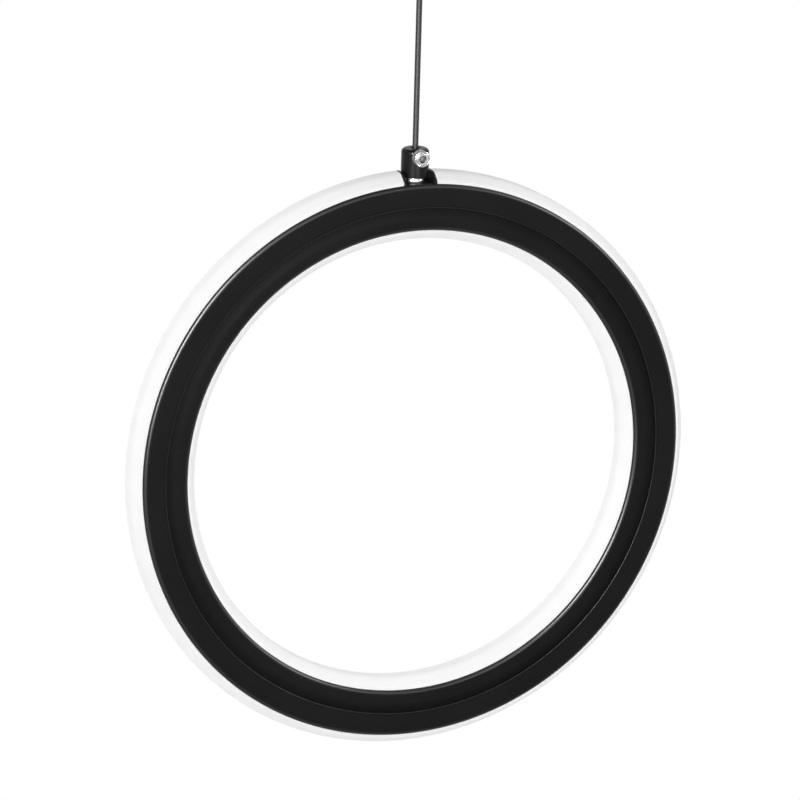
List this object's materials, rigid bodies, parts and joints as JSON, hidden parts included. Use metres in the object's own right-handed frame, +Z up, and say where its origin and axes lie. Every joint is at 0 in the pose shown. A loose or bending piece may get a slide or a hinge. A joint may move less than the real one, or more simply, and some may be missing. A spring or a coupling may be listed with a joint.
{
  "type": "led ring pendant light",
  "caption": "Slim LED ring pendant: black ring faces with a fine groove, white light bands round the outside and inside, hung on a thin cord from a round ceiling canopy.",
  "frame": {"origin": "centre of the canopy, on the ceiling plane that the bracket and the canopy's rim touch", "axes": "+Z up into the ceiling, -Y out of the front of the ring, X across the ring"},
  "size_m": [0.2002, 0.1, 0.31],
  "materials": {
    "black_paint": "satin black powder coat",
    "opal": "opal white, smooth",
    "aluminium": "mill finish",
    "strip_board": "white solder mask",
    "led": "yellow phosphor under clear resin",
    "bright_steel": "bright nickel plate",
    "zinc_steel": "bright zinc plate",
    "cord_jacket": "smooth black jacket",
    "copper_wire": "tinned copper",
    "lead_jacket": "smooth insulation",
    "driver_plastic": "fine moulded grain",
    "tape": "foam",
    "block_plastic": "natural nylon"
  },
  "bodies": {
    "canopy": {"canopy": "black_paint", "ceiling_bracket": "zinc_steel", "canopy_screws": "bright_steel", "gland_body": "black_paint", "gland_nut": "bright_steel", "driver_case": "driver_plastic", "driver_lid": "driver_plastic", "driver_tape": "tape", "terminal_block": "block_plastic", "terminal_screws": "bright_steel", "block_screw": "bright_steel", "driver_input_leads": "lead_jacket", "driver_output_leads": "lead_jacket", "cord_canopy_end": "cord_jacket"},
    "gland_screw": {"gland_screw": "bright_steel"},
    "cord": {"pendant_cord": "cord_jacket"},
    "grip": {"grip_body": "black_paint", "cord_grip_end": "cord_jacket"},
    "grip_screw": {"grip_screw": "bright_steel"},
    "ring": {"front_cover": "black_paint", "back_cover": "black_paint", "cover_screws": "bright_steel", "pillars": "bright_steel", "carrier_ring": "aluminium", "outer_diffuser": "opal", "inner_diffuser": "opal", "outer_strip": "strip_board", "inner_strip": "strip_board", "outer_leds": "led", "inner_leds": "led", "strip_links": "copper_wire", "bridge": "black_paint", "end_caps": "black_paint", "hanger_stud": "bright_steel", "stud_nut": "bright_steel", "ring_leads": "lead_jacket"}
  },
  "joints": [
    {"name": "cord_swing", "type": "hinge", "parent": "canopy", "child": "cord", "pos_m": [0, 0, -0.0412], "axis": [0, 1, 0], "range_deg": [-20, 20]},
    {"name": "ring_tip", "type": "hinge", "parent": "cord", "child": "grip", "pos_m": [0, 0, -0.1028], "axis": [1, 0, 0], "range_deg": [-20, 20]},
    {"name": "ring_turn", "type": "hinge", "parent": "grip", "child": "ring", "pos_m": [0, 0, -0.1116], "axis": [0, 0, 1], "range_deg": [-175, 175]},
    {"name": "grip_screw_turn", "type": "hinge", "parent": "grip", "child": "grip_screw", "pos_m": [0, 0, -0.1044], "axis": [0, -1, 0], "continuous": true},
    {"name": "gland_screw_turn", "type": "hinge", "parent": "canopy", "child": "gland_screw", "pos_m": [0, 0, -0.0365], "axis": [0, -1, 0], "continuous": true}
  ]
}
